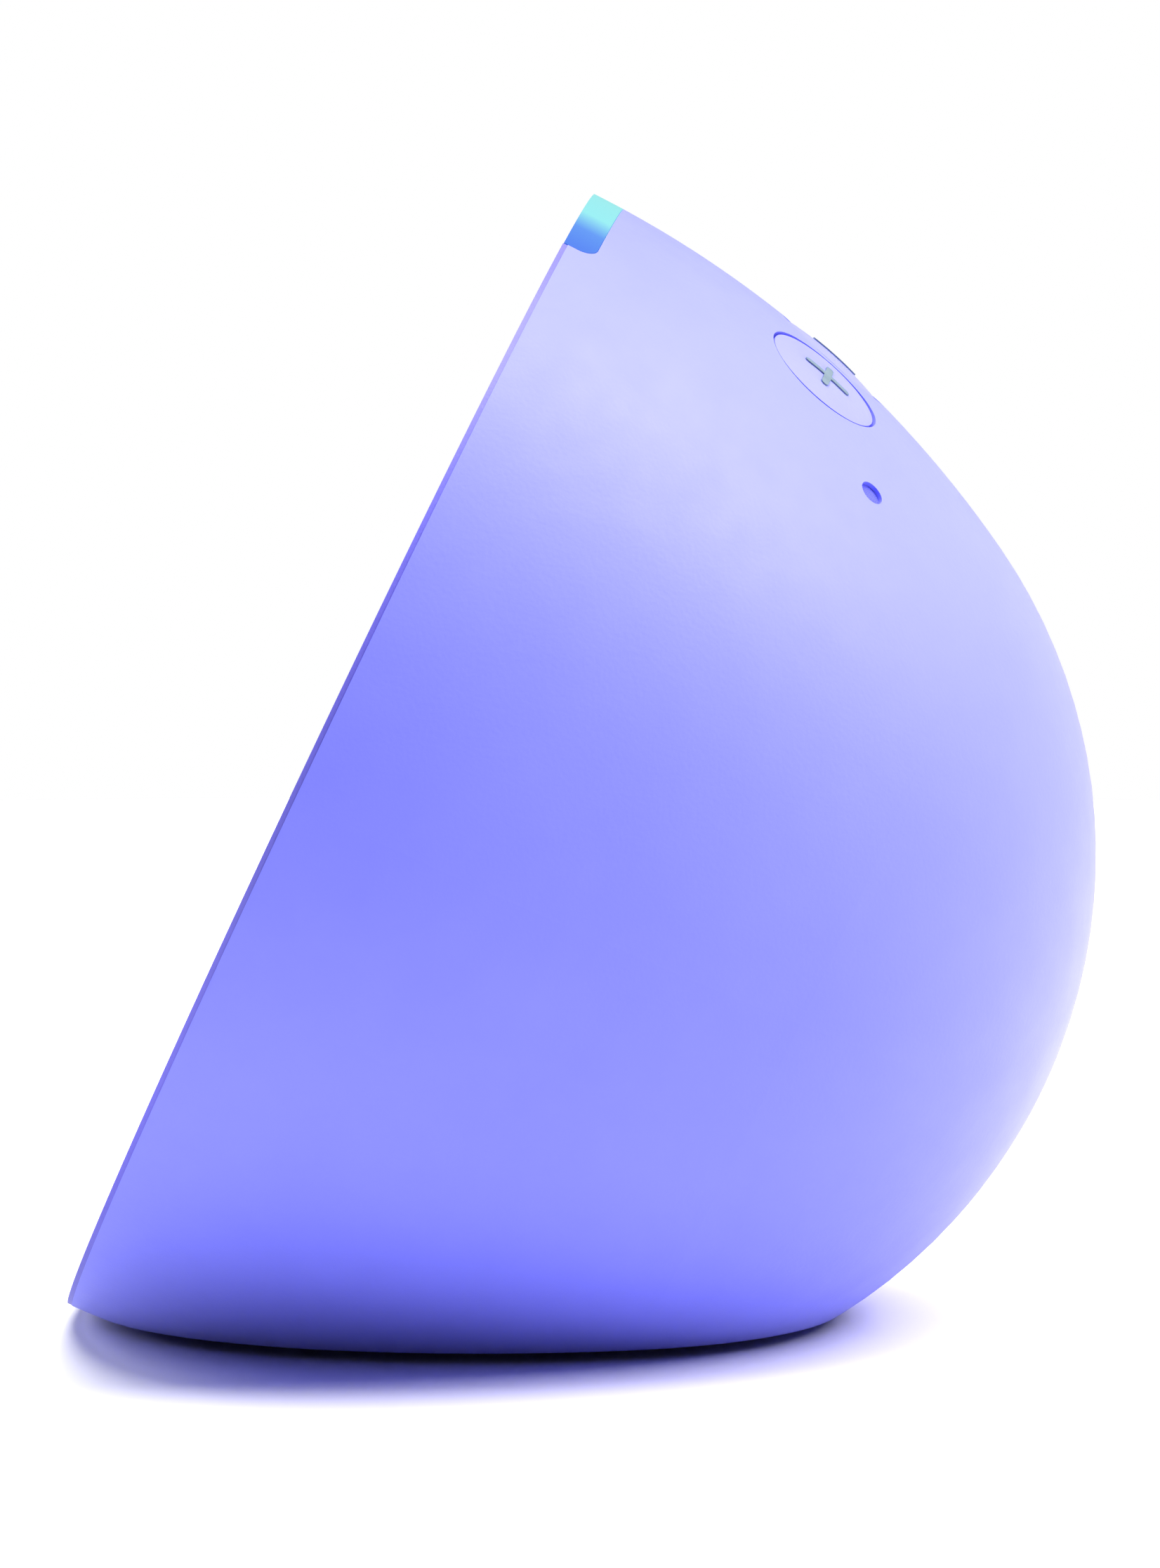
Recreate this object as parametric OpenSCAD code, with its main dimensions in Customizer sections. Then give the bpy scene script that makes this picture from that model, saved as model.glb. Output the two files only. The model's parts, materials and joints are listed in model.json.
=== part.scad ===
// Smart speaker: a half-dome casing with a leaning round front, a flat base and keys on top.
// +Z is up and the front faces -Y. The origin is the middle of the footprint, on the resting surface.
// "Face frame" below means: local z runs from the front face into the casing, local -y runs up the face.

/* [Casing] */
// Diameter of the round front face
face_d = 99; // [98:0.5:100]
// How far the face leans back from upright, in degrees
face_lean = 25.3; // [24.5:0.1:26]
// Height of the face's centre above the resting surface
face_z = 46.1; // [45.9:0.1:46.3]
// Depth of the dome's centre behind the face
dome_depth = 20; // [19.5:0.1:20.5]
// Radius of the rear dome
dome_r = 43.6; // [43.3:0.1:44]
// Angle from the face's axis at which the dome turns into the flank
dome_angle = 60; // [58:1:62]
// Thickness of the casing's wall
wall = 2.2; // [2:0.1:2.4]
// Height of the casing's flat cut above the resting surface
base_z = 0.8; // [0.6:0.1:1]

/* [Keys and microphones] */
// Diameter of each round key
key_d = 10.2; // [9.8:0.1:10.3]
// Gap between a key and its hole
key_gap = 0.25; // [0.2:0.05:0.3]
// Angle from one key to the next around the face's axis
key_pitch = 14.6; // [14.4:0.1:16]
// Depth of the keys' centres behind the face
key_depth = 23; // [22:0.5:24]
// Radius of the crown on each key's top
key_crown_r = 30; // [28:1:34]
// Diameter of each microphone hole
mic_d = 2.1; // [1.8:0.1:2.4]
// Angle of each microphone hole from the top, around the face's axis
mic_angle = 29; // [28:0.5:32]
// Depth of the microphone holes behind the face
mic_depth = 29.9; // [29:0.1:31]

/* [Light bar] */
// Half the angle that the light bar spans
light_angle = 23.8; // [22:0.1:25]
// Width of the light bar along the face's axis
light_w = 2.25; // [2.2:0.05:2.4]

/* [Grille] */
// Diameter of each grille hole
grille_hole_d = 2.4; // [2:0.1:2.6]
// Distance between rings of grille holes
grille_pitch = 3.8; // [3.6:0.1:4]
// Number of rings of holes
grille_rings = 9; // [6:1:9]

/* [Power socket] */
// Height of the socket's axis above the resting surface
jack_z = 13; // [12.8:0.1:13.2]
// Bore of the socket
jack_bore_d = 6.4; // [6.2:0.1:6.5]
// Diameter of the socket's centre pin
jack_pin_d = 2; // [1.9:0.05:2.1]

/* [Hidden] */
$fn = 96;
eps = 0.01;
// Length that passes any wall, and one that passes the whole object.
cut = 20;
big = 200;
// Gap between close-fitting pieces.
gap = 0.05;

face_r = face_d / 2;
// The flank is an arc that leaves the dome tangentially and ends at the face's rim.
rim_along = -dome_depth * cos(dome_angle) + face_r * sin(dome_angle);
flank_r = (dome_depth * dome_depth + face_r * face_r - 2 * dome_r * rim_along + dome_r * dome_r)
    / (2 * (dome_r - rim_along));
flank_s = dome_depth + (dome_r - flank_r) * cos(dome_angle);
flank_q = (dome_r - flank_r) * sin(dome_angle);
// Places the face's centre so that the footprint's middle is at y = 0.
face_y = (face_r * sin(face_lean) - dome_depth * cos(face_lean) - dome_r) / 2;

// Radius of the flank's surface at depth s, and its normal's tilt towards the rear.
function surface_q(s) = flank_q + sqrt(flank_r * flank_r - (s - flank_s) * (s - flank_s));
function surface_tilt(s) = asin((s - flank_s) / flank_r);

trim_t = 0.4;
cloth_s = 0.3;
cloth_t = 0.5;
grille_s = 0.8;
grille_t = 1.4;
grille_r = 46;
grille_twist = 7;
skirt_r = 47;
skirt_t = 0.7;
skirt_depth = 4.4;
light_corner_r = 1.5;
light_lip_angle = light_angle - 2;
light_lip_r = 45.4;
light_lip_s = 2.25;
light_in_r = face_r - wall - gap;
light_lip_back = 4.2;
light_board_q = 43.4;
light_board_t = 0.4;
light_board_s = 2.5;
light_board_w = 2.2;
led = [2.2, 1.37, 1.5];
led_q = 45.2;
led_s = 2.7;
led_pitch = 6.4;

baffle_s = 5;
baffle_t = 2.5;
baffle_r = 46.2;
baffle_back = baffle_s + baffle_t;
baffle_screw_q = 42.5;
baffle_screw_len = 9;
baffle_boss_h = 13;
baffle_boss_r = 2.8;
baffle_rib = 6;
baffle_skin = 0.6;
peg_q = 42;
peg_r = 1.5;
corner_angles = [45, 135, 225, 315];
side_angles = [0, 90, 180, 270];
peg_angles = [90, 150, 210, 270];
screw_r = 1;
screw_clear = 0.06;
small_head_r = 1.7;
small_head_h = 0.9;

cone_axis_r = 23;
flange_r = 28;
driver_screw_q = 26;
driver_screw_len = 2.6;
gasket_in_r = 24.6;
gasket_t = 0.4;
flange_s = baffle_back + gasket_t;
flange_t = 1;
bowl_front_r = 22.4;
bowl_back_r = 15.6;
bowl_back_s = 20;
bowl_t = 1.1;
window = [9, 12, 5.6];
window_q = 25;
window_s = flange_s + 2.4;
plate_t = 3;
plate_r = 16;
plate_s = bowl_back_s + bowl_t;
magnet_t = 8;
magnet_s = plate_s + plate_t;
back_s = magnet_s + magnet_t;
pole_r = 6.6;
gap_r = 8.3;
basket_in_r = gap_r + 1;
magnet_in_r = gap_r + 1.5;
magnet_r = plate_r + 0.5;
coil_in_r = 6.95;
coil_out_r = 7.95;
coil_front = 13.6;
coil_back = 26;
coil_gap = 0.02;
former_t = 0.4;
winding_past = 1;
collar_past = 1.2;
cone_t = 0.7;
cone_edge_r = 18.2;
cone_edge_s = flange_s;
cone_neck_s = 14.2;
cone_neck_t = 1;
cap_t = 0.5;
cap_h = 2.6;
cap_rim_r = coil_in_r + former_t;
cap_r = (cap_rim_r * cap_rim_r + cap_h * cap_h) / (2 * cap_h);
spider_r = 16.8;
spider_s = 17;
spider_t = 0.5;
roll_r = 2.15;
roll_t = 0.4;
roll_q = 20.45;
surround_lip = 1.2;
surround_overlap = 0.1;

chamber_flange_r = 36;
chamber_screw_q = 34;
chamber_screw_len = 3.6;
chamber_front_r = 31;
chamber_back_r = 21;
chamber_back = 38;
chamber_t = 1.8;
chamber_flange_t = 1.5;
seal_t = 0.5;
chamber_s = baffle_back + seal_t;

lead_gap = 1.5;
lead_s = 17;
lead_r = 0.6;
lead_from = 18.9;
lead_to = 32;

plate_gap = 0.15;
base_t = 2.2;
base_top = base_z + base_t;
foot_y = -9;
foot_a = 19.5;
foot_b = 16;
foot_end_r = 11.5;
foot_w = 3.5;
foot_groove = 0.6;
base_holes = [[10, -26.5], [-10, -26.5], [9.8, 8.6], [-9.8, 8.6]];
base_head_r = 1.9;
base_head_gap = 0.2;
base_head_sink = 1.2;
base_screw_len = 5.2;
boss_r = 2.4;
boss_top = 8;
boss_roof = 0.5;
rib_len = 13;
rib_t = 1.5;
board_z = 5.5;
board_t = 1.6;
board_top = board_z + board_t;
board_w = 38;
board_front = -22;
board_back = 4;
board_edge = 1.2;
board_screw_len = 4.4;
board_posts = [[15, -18], [-15, -18], [15, 0], [-15, 0]];
post_r = 2.2;
// Each piece on the board: x, y of its middle, then its width, depth and height.
chips = [
    [-3.5, -10, 10, 10, 1.2], [5.5, -10, 6, 8, 1], [-14, -9, 5, 5, 1],
    [14, -8, 4, 6, 1.6], [-8, 1, 4, 4, 0.9], [8, 1, 3, 5, 1.4]
];
connectors = [[0, -19.5, 6, 3, 2.6], [0, 2, 6, 2.6, 3.4], [16, 3, 5, 1.8, 1.1]];
can_y = -10;
can_w = 20;
can_d = 12.4;
can_h = 1.9;
can_t = 0.3;
pad_h = 0.5;
spreader_h = 1;

jack_front = 24.5;
jack_floor = 25;
jack_mouth = 26.6;
jack_len = 13;
jack_w = 9;
jack_h = 10;
jack_rest = [7, 6];
jack_rest_y = 13;
jack_bore_depth = 9.5;
jack_bore_floor = jack_mouth - jack_bore_depth;
jack_back = jack_front - jack_len;
jack_tail = 1.2;
jack_shank_d = 2.6;
jack_pin_len = 9;
jack_nose_r = 4;
pocket_r = 5.6;
pocket_t = 1.1;
pocket_len = 12;
jack_lead_x = 1.6;
jack_lead_y = 3.35;
jack_lead_z = jack_z - 3.4;

key_angles = [key_pitch, 0, -key_pitch];
key_hole_r = key_d / 2 + key_gap;
key_skirt = 2.6;
key_ear_t = 0.8;
key_post_len = 0.9;
key_post_r = 1.5;
key_room = 8;
key_travel = 0.4;
key_proud = 0.15;
key_ear = [5, 13.4];
dome_top = key_skirt + key_ear_t + key_post_len + key_travel + gap;
dome_h = 0.4;
dome_r1 = 2;
dome_r2 = 1.2;
dome_gap = 0.03;
key_board_t = 0.4;
key_board_n = dome_top + dome_h;
bracket_t = 1.2;
bracket_past = 8;
board_past = 7.5;
strip_front = -8;
strip_back = 13;
strut_angle = mic_angle + 5;
strut_depth = key_depth - 4;
strut_r = 1.6;
strut_root = 0.8;
strut_gap = 0.2;
mic_room = 6;
mic_seal_t = 1.2;
mic_seal_r = 2.4;
mic_port_r = 0.5;
mic_w = 3;
mic_h = 1;

ribbon_x = 14;
ribbon_y = 2;
ribbon_z = 8.4;
ribbon_w = 5;
ribbon_t = 0.3;
ribbon_in = wall + 1.6;
ribbon_s = 36;
antenna_in = wall + 0.6;
antenna_t = 0.4;
antenna_angle = 85;
antenna_len = 32;
antenna_w = 8;
antenna_s = 14;

// ---------- frames and shared shapes ----------

// Children in the face frame: z goes into the casing, -y goes up the face.
module on_face() {
    translate([0, face_y, face_z])
        rotate([-(90 + face_lean), 0, 0])
            children();
}

// Children on the casing's surface, inside the face frame: z is outward, y runs to the rear.
module on_surface(angle, s) {
    rotate([0, 0, angle])
        translate([0, -surface_q(s), s])
            rotate([90 - surface_tilt(s), 0, 0])
                children();
}

// Children along the power socket's axis, starting at y and running to the rear.
module along_jack(y) {
    translate([0, y, jack_z])
        rotate([-90, 0, 0])
            children();
}

// Half of the casing's section, set in from the outer surface, from depth front backwards.
module half_section(inset, front) {
    intersection() {
        translate([flank_q, flank_s]) circle(r = flank_r - inset, $fn = 360);
        polygon([
            [0, front], [big, front], [big, dome_depth + big / tan(dome_angle)], [0, dome_depth]
        ]);
    }
    intersection() {
        translate([0, dome_depth]) circle(r = dome_r - inset, $fn = 360);
        polygon([[0, dome_depth], [big, dome_depth + big / tan(dome_angle)], [0, big]]);
    }
}

// Solid of the casing's outer form, set in by inset, before its base is cut flat.
module form(inset, front = trim_t) {
    on_face()
        rotate_extrude($fn = 180)
            half_section(inset, front);
}

// Horizontal slab from z0 to z1.
module slab(z0, z1) {
    translate([-big / 2, -big / 2, z0]) cube([big, big, z1 - z0]);
}

// Ring of revolution about the face's axis, between two radii and two depths.
module ring(r_in, r_out, s0, s1) {
    translate([0, 0, s0])
        difference() {
            cylinder(r = r_out, h = s1 - s0);
            translate([0, 0, -eps]) cylinder(r = r_in, h = s1 - s0 + 2 * eps);
        }
}

// Children at each angle about the face's axis, at radius q and depth s.
module around(angles, q, s) {
    for (a = angles)
        rotate([0, 0, a])
            translate([0, -q, s])
                children();
}

// Hole that clears a screw's shank.
module screw_hole(length) {
    cylinder(r = screw_r + screw_clear, h = length, $fn = 32);
}

// Pan-head screw whose head bottoms at z = 0 and whose shank runs towards +z.
module screw(length, head_r = 2, head_h = 1) {
    translate([0, 0, -head_h])
        difference() {
            cylinder(r = head_r, h = head_h, $fn = 32);
            translate([0, 0, -eps]) cylinder(r = 0.9, h = 0.6, $fn = 6);
        }
    cylinder(r = screw_r, h = length, $fn = 32);
}

// Small screw whose head bottoms at z = 0 and whose shank runs towards -z.
module small_screw(length) {
    rotate([180, 0, 0]) screw(length, small_head_r, small_head_h);
}

// Hole of radius r that goes depth into the casing from its surface.
module surface_hole(angle, s, r, depth) {
    on_surface(angle, s)
        translate([0, 0, -depth]) cylinder(r = r, h = depth + 2);
}

// Outline of the light bar on the rim, seen from above the face, grown by extra.
module light_outline(extra) {
    half_w = face_r * sin(light_angle) + extra;
    back = trim_t + light_w + extra;
    translate([-half_w, trim_t - 1]) square([2 * half_w, back - light_corner_r - trim_t + 1]);
    translate([-half_w + light_corner_r, trim_t - 1])
        square([2 * (half_w - light_corner_r), back - trim_t + 1]);
    for (side = [-1, 1])
        translate([side * (half_w - light_corner_r), back - light_corner_r])
            circle(r = light_corner_r, $fn = 48);
}

// Prism over the light bar's outline, standing on the rim's top.
module light_prism(extra) {
    rotate([90, 0, 0])
        translate([0, 0, 40])
            linear_extrude(15)
                light_outline(extra);
}

// Sector of half angle a about the face's top, through the whole depth.
module sector(a) {
    translate([0, 0, -eps])
        linear_extrude(big / 2)
            polygon([
                [0, 0], [-big * sin(a), -big * cos(a)], [0, -big * 2], [big * sin(a), -big * cos(a)]
            ]);
}

// Strip of thickness t under the keys' row, at depth n below their tops, out to angle a each way.
module key_strip(n, t, a) {
    intersection() {
        rotate_extrude()
            translate([surface_q(key_depth), key_depth])
                rotate(surface_tilt(key_depth))
                    translate([-n - t, strip_front]) square([t, strip_back - strip_front]);
        sector(a);
    }
}

// ---------- casing ----------

// Screw boss for the base plate, tied to the side wall by a rib.
module shell_boss(x, y) {
    height = boss_top - base_top;
    translate([x, y, base_top + gap]) {
        cylinder(r = boss_r, h = height, $fn = 48);
        translate([x > 0 ? 0 : -rib_len, -rib_t / 2, 0]) cube([rib_len, rib_t, height]);
    }
}

// Screw boss for the baffle, tied to the casing's wall by a rib.
module baffle_boss() {
    cylinder(r = baffle_boss_r, h = baffle_boss_h, $fn = 48);
    translate([-rib_t / 2, -baffle_rib, 0]) cube([rib_t, baffle_rib, baffle_boss_h]);
}

// Half-dome casing with its screw bosses, power pocket, and holes for keys, microphones and light bar.
module rear_shell() {
    color([0.6, 0.58, 1])
    difference() {
        union() {
            difference() {
                form(0);
                form(wall, trim_t - 1);
            }
            intersection() {
                form(wall / 2);
                union() {
                    for (p = base_holes) shell_boss(p[0], p[1]);
                    on_face() around(corner_angles, baffle_screw_q, baffle_back) baffle_boss();
                    along_jack(jack_floor) cylinder(r = pocket_r + pocket_t, h = pocket_len);
                }
            }
        }
        slab(-big, base_z);
        for (p = base_holes) translate([p[0], p[1], 0]) screw_hole(boss_top - boss_roof);
        along_jack(jack_mouth) cylinder(r = pocket_r, h = cut);
        along_jack(jack_floor - 1) cylinder(r = jack_nose_r + screw_clear, h = jack_mouth - jack_floor + 2);
        on_face() {
            around(corner_angles, baffle_screw_q, baffle_back - 1) screw_hole(baffle_screw_len + 2);
            for (a = key_angles) surface_hole(a, key_depth, key_hole_r, key_room);
            for (side = [-1, 1]) surface_hole(side * mic_angle, mic_depth, mic_d / 2, mic_room);
            light_prism(gap);
        }
    }
}

// Thin ring along the front edge, notched for the light bar, with a skirt that plugs into the casing.
module front_trim() {
    color([0.36, 0.32, 0.72])
    on_face()
    difference() {
        union() {
            intersection() {
                rotate_extrude($fn = 180) half_section(gap, 0);
                ring(skirt_r - skirt_t, big, 0, trim_t);
            }
            ring(skirt_r - skirt_t, skirt_r, 0, skirt_depth);
        }
        intersection() {
            light_prism(gap);
            ring(light_in_r, big, -1, trim_t + 1);
        }
        intersection() {
            sector(light_angle + 1);
            ring(light_lip_r, big, trim_t, skirt_depth + 1);
        }
    }
}

// Cloth over the front, inside the trim.
module grille_fabric() {
    color([0.52, 0.5, 0.9])
    on_face()
    translate([0, 0, cloth_s]) cylinder(r = skirt_r - skirt_t - gap, h = cloth_t, $fn = 180);
}

// Disc with rings of holes, each ring turned a little further than the last.
module grille_outline() {
    difference() {
        circle(r = grille_r, $fn = 180);
        circle(d = grille_hole_d, $fn = 24);
        for (i = [1:grille_rings])
            for (k = [0:6 * i - 1])
                rotate(60 * k / i + grille_twist * i)
                    translate([i * grille_pitch, 0]) circle(d = grille_hole_d, $fn = 24);
    }
}

// Perforated disc behind the cloth, standing off the baffle on four pegs.
module grille_frame() {
    color([0.12, 0.12, 0.14])
    on_face() {
        translate([0, 0, grille_s]) linear_extrude(grille_t) grille_outline();
        around(peg_angles, peg_q, grille_s + grille_t)
            cylinder(r = peg_r, h = baffle_s - grille_s - grille_t, $fn = 32);
    }
}

// Plate that carries the driver and its chamber, screwed to the casing's bosses.
module front_baffle() {
    color([0.16, 0.16, 0.18])
    on_face()
    difference() {
        ring(cone_axis_r, baffle_r, baffle_s, baffle_back);
        around(corner_angles, baffle_screw_q, 0) screw_hole(cut);
        around(side_angles, driver_screw_q, baffle_s + baffle_skin) screw_hole(baffle_t);
        around(side_angles, chamber_screw_q, baffle_s + baffle_skin) screw_hole(baffle_t);
    }
}

// Screws from the baffle into the casing.
module baffle_screws() {
    color([0.25, 0.25, 0.27])
    on_face()
    around(corner_angles, baffle_screw_q, baffle_s) screw(baffle_screw_len);
}

// Floor of the casing, with posts for the main board, a rest for the socket and a groove for the foot.
module base_plate() {
    color([0.22, 0.22, 0.3])
    difference() {
        union() {
            intersection() {
                form(wall + plate_gap, baffle_back + plate_gap);
                slab(base_z, base_top);
            }
            for (p = board_posts)
                translate([p[0], p[1], base_top - 1])
                    cylinder(r = post_r, h = board_z - base_top + 1, $fn = 48);
            translate([-jack_rest[0] / 2, jack_rest_y, base_top - 1])
                cube([jack_rest[0], jack_rest[1], jack_z - jack_h / 2 - base_top + 1]);
        }
        foot_ring(gap);
        for (p = base_holes)
            translate([p[0], p[1], 0]) {
                cylinder(r = base_head_r + base_head_gap, h = base_z + base_head_sink, $fn = 48);
                screw_hole(cut);
            }
        for (p = board_posts)
            translate([p[0], p[1], base_top - boss_roof]) screw_hole(cut);
    }
}

// Oval of half length a along y and half width b along x, made of four arcs; r is its ends' radius.
module oval(a, b, r) {
    side_r = (b * b + (a - r) * (a - r) - r * r) / (2 * (b - r));
    joint_y = (a - r) * (1 + r / (side_r - r));
    for (end = [-1, 1]) translate([0, end * (a - r)]) circle(r = r);
    intersection() {
        translate([b - side_r, 0]) circle(r = side_r);
        translate([side_r - b, 0]) circle(r = side_r);
        translate([-b, -joint_y]) square([2 * b, 2 * joint_y]);
    }
}

// Oval ring under the base, grown on both sides by extra.
module foot_ring(extra) {
    translate([0, foot_y, 0])
        linear_extrude(base_z + foot_groove)
            difference() {
                oval(foot_a + extra, foot_b + extra, foot_end_r + extra);
                oval(foot_a - foot_w - extra, foot_b - foot_w - extra, foot_end_r - foot_w - extra);
            }
}

// Soft ring that the speaker stands on.
module foot_pad() {
    color([0.1, 0.1, 0.11])
    foot_ring(0);
}

// Screws from below, their heads sunk in the base.
module base_screws() {
    color([0.7, 0.7, 0.72])
    for (p = base_holes)
        translate([p[0], p[1], base_z + base_head_sink]) screw(base_screw_len, base_head_r);
}

// ---------- driver ----------

module driver_gasket() {
    color([0.08, 0.08, 0.08])
    on_face() difference() {
        ring(gasket_in_r, flange_r, baffle_back, flange_s);
        around(side_angles, driver_screw_q, 0) screw_hole(cut);
    }
}

// Pressed frame of the driver: flange, windowed bowl and rear ring.
module driver_basket() {
    color([0.2, 0.2, 0.22])
    on_face()
    difference() {
        union() {
            ring(bowl_front_r - bowl_t, flange_r, flange_s, flange_s + flange_t);
            rotate_extrude()
                polygon([
                    [bowl_front_r - bowl_t, flange_s], [bowl_front_r, flange_s],
                    [bowl_back_r + bowl_t, bowl_back_s], [bowl_back_r, bowl_back_s]
                ]);
            ring(basket_in_r, bowl_back_r + bowl_t, bowl_back_s, bowl_back_s + bowl_t);
        }
        around(corner_angles, window_q, window_s) translate([-window[0] / 2, 0, 0]) cube(window);
        around(side_angles, driver_screw_q, 0) screw_hole(cut);
    }
}

// Front pole plate around the coil.
module driver_top_plate() {
    color([0.7, 0.7, 0.7])
    on_face() ring(gap_r, plate_r, plate_s, magnet_s);
}

// Ring magnet between the two plates.
module driver_magnet() {
    color([0.3, 0.3, 0.32])
    on_face() ring(magnet_in_r, magnet_r, magnet_s, back_s);
}

// Rear pole plate and its centre pole.
module driver_back_plate() {
    color([0.7, 0.7, 0.7])
    on_face() {
        translate([0, 0, plate_s]) cylinder(r = pole_r, h = back_s - plate_s);
        translate([0, 0, back_s]) cylinder(r = plate_r, h = plate_t);
    }
}

// Half-roll of rubber between the cone's edge and the basket.
module driver_surround() {
    color([0.05, 0.05, 0.05])
    on_face()
    rotate_extrude() {
        difference() {
            translate([roll_q, flange_s]) circle(r = roll_r, $fn = 48);
            translate([roll_q, flange_s]) circle(r = roll_r - roll_t, $fn = 48);
            translate([0, flange_s]) square([big, cut]);
        }
        translate([cone_edge_r - surround_lip, flange_s - gasket_t])
            square([surround_lip + roll_t, gasket_t]);
        translate([roll_q + roll_r - surround_overlap, flange_s - gasket_t])
            square([gasket_in_r - roll_q - roll_r, gasket_t]);
    }
}

// Flat ring that centres the coil in the basket.
module driver_spider() {
    color([0.75, 0.6, 0.3])
    on_face()
    ring(coil_out_r + coil_gap, spider_r, spider_s, spider_s + spider_t);
}

// Screws from the driver's flange into the baffle.
module driver_screws() {
    color([0.6, 0.6, 0.62])
    on_face()
    around(side_angles, driver_screw_q, flange_s + flange_t) small_screw(driver_screw_len);
}

// Paper cone from the surround down to the coil's neck.
module driver_cone() {
    color([0.13, 0.13, 0.14])
    on_face()
    rotate_extrude()
        polygon([
            [coil_out_r + coil_gap, cone_neck_s], [cone_edge_r - surround_lip, cone_edge_s],
            [cone_edge_r, cone_edge_s], [cone_edge_r, cone_edge_s + cone_t],
            [cone_edge_r - cone_neck_t, cone_edge_s + cone_t],
            [coil_out_r + coil_gap, cone_neck_s + cone_neck_t]
        ]);
}

// Shallow dome that stands on the front edge of the coil's former.
module dust_cap() {
    color([0.1, 0.1, 0.1])
    on_face()
    rotate_extrude()
        intersection() {
            difference() {
                translate([0, coil_front - cap_h + cap_r]) circle(r = cap_r, $fn = 180);
                translate([0, coil_front - cap_h + cap_r]) circle(r = cap_r - cap_t, $fn = 180);
            }
            translate([0, coil_front - cap_h]) square([cap_r, cap_h]);
        }
}

// Former with its collar at the cone's neck and the winding in the magnet's gap.
module voice_coil() {
    color([0.75, 0.45, 0.2])
    on_face()
    union() {
        ring(coil_in_r, coil_in_r + former_t, coil_front, coil_back);
        ring(coil_in_r + former_t / 2, coil_out_r, cone_neck_s, spider_s + collar_past);
        ring(coil_in_r + former_t / 2, coil_out_r, plate_s - winding_past, magnet_s + winding_past);
    }
}

// Sealed rear chamber around the driver, with two holes for its leads.
module speaker_chamber() {
    color([0.18, 0.18, 0.2])
    on_face()
    difference() {
        rotate_extrude()
            polygon([
                [chamber_front_r - chamber_t, chamber_s], [chamber_flange_r, chamber_s],
                [chamber_flange_r, chamber_s + chamber_flange_t],
                [chamber_front_r, chamber_s + chamber_flange_t],
                [chamber_back_r, chamber_back], [0, chamber_back], [0, chamber_back - chamber_t],
                [chamber_back_r - chamber_t, chamber_back - chamber_t]
            ]);
        around(side_angles, chamber_screw_q, 0) screw_hole(cut);
        for (side = [-1, 1])
            translate([lead_gap * side, lead_from, lead_s])
                rotate([-90, 0, 0]) cylinder(r = lead_r + gap, h = cut, $fn = 32);
    }
}

// Foam ring between the chamber's flange and the baffle.
module chamber_seal() {
    color([0.05, 0.05, 0.05])
    on_face() difference() {
        ring(chamber_front_r - chamber_t, chamber_flange_r, baffle_back, chamber_s);
        around(side_angles, chamber_screw_q, 0) screw_hole(cut);
    }
}

// Screws from the chamber's flange into the baffle.
module chamber_screws() {
    color([0.6, 0.6, 0.62])
    on_face()
    around(side_angles, chamber_screw_q, chamber_s + chamber_flange_t) small_screw(chamber_screw_len);
}

// ---------- electronics ----------

module main_board() {
    color([0.05, 0.3, 0.15])
    difference() {
        intersection() {
            form(wall + board_edge);
            slab(board_z, board_top);
            translate([-board_w / 2, board_front, 0]) cube([board_w, board_back - board_front, cut]);
        }
        for (p = board_posts) translate([p[0], p[1], 0]) screw_hole(cut);
    }
}

// Block on the main board: x, y of its middle, then its width, depth and height.
module chip(c) {
    translate([c[0] - c[2] / 2, c[1] - c[3] / 2, board_top]) cube([c[2], c[3], c[4]]);
}

// Chips on the main board.
module board_chips() {
    color([0.08, 0.08, 0.09])
    for (c = chips) chip(c);
}

// Thin can over the processor and its memory.
module shield_can() {
    color([0.75, 0.75, 0.75])
    difference() {
        chip([0, can_y, can_w, can_d, can_h]);
        translate([0, 0, -eps]) chip([0, can_y, can_w - 2 * can_t, can_d - 2 * can_t, can_h - can_t + eps]);
    }
}

// Soft pad between the can and the heat spreader.
module thermal_pad() {
    color([0.5, 0.6, 0.75])
    translate([0, 0, can_h]) chip([0, can_y, can_w - 2, can_d - 2.4, pad_h]);
}

// Plate that spreads the processor's heat.
module heat_spreader() {
    color([0.8, 0.8, 0.8])
    translate([0, 0, can_h + pad_h]) chip([0, can_y, can_w + 4, can_d + 0.6, spreader_h]);
}

// Sockets for the driver's leads, the power leads and the key ribbon.
module board_connectors() {
    color([0.9, 0.9, 0.85])
    for (c = connectors) chip(c);
}

// Screws from the main board into the base's posts.
module board_screws() {
    color([0.7, 0.7, 0.72])
    for (p = board_posts) translate([p[0], p[1], board_top]) small_screw(board_screw_len);
}

// Housing of the barrel power socket, its nose in the casing's pocket.
module dc_jack() {
    color([0.06, 0.06, 0.07])
    translate([0, 0, jack_z])
    difference() {
        union() {
            translate([-jack_w / 2, jack_back, -jack_h / 2]) cube([jack_w, jack_len, jack_h]);
            translate([0, jack_front - eps, 0])
                rotate([-90, 0, 0]) cylinder(r = jack_nose_r, h = jack_mouth - jack_front + eps);
        }
        translate([0, jack_bore_floor, 0])
            rotate([-90, 0, 0]) cylinder(d = jack_bore_d, h = jack_bore_depth + 1);
        translate([0, jack_back - 1, 0])
            rotate([-90, 0, 0]) cylinder(d = jack_shank_d, h = jack_len);
    }
}

// Centre contact of the power socket, held in the socket's floor and soldered behind it.
module jack_pin() {
    color([0.8, 0.78, 0.7])
    union() {
        along_jack(jack_back - jack_tail)
            cylinder(d = jack_shank_d, h = jack_tail + jack_bore_floor - jack_back);
        along_jack(jack_bore_floor - eps)
            cylinder(d = jack_pin_d, h = jack_pin_len + eps);
    }
}

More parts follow.
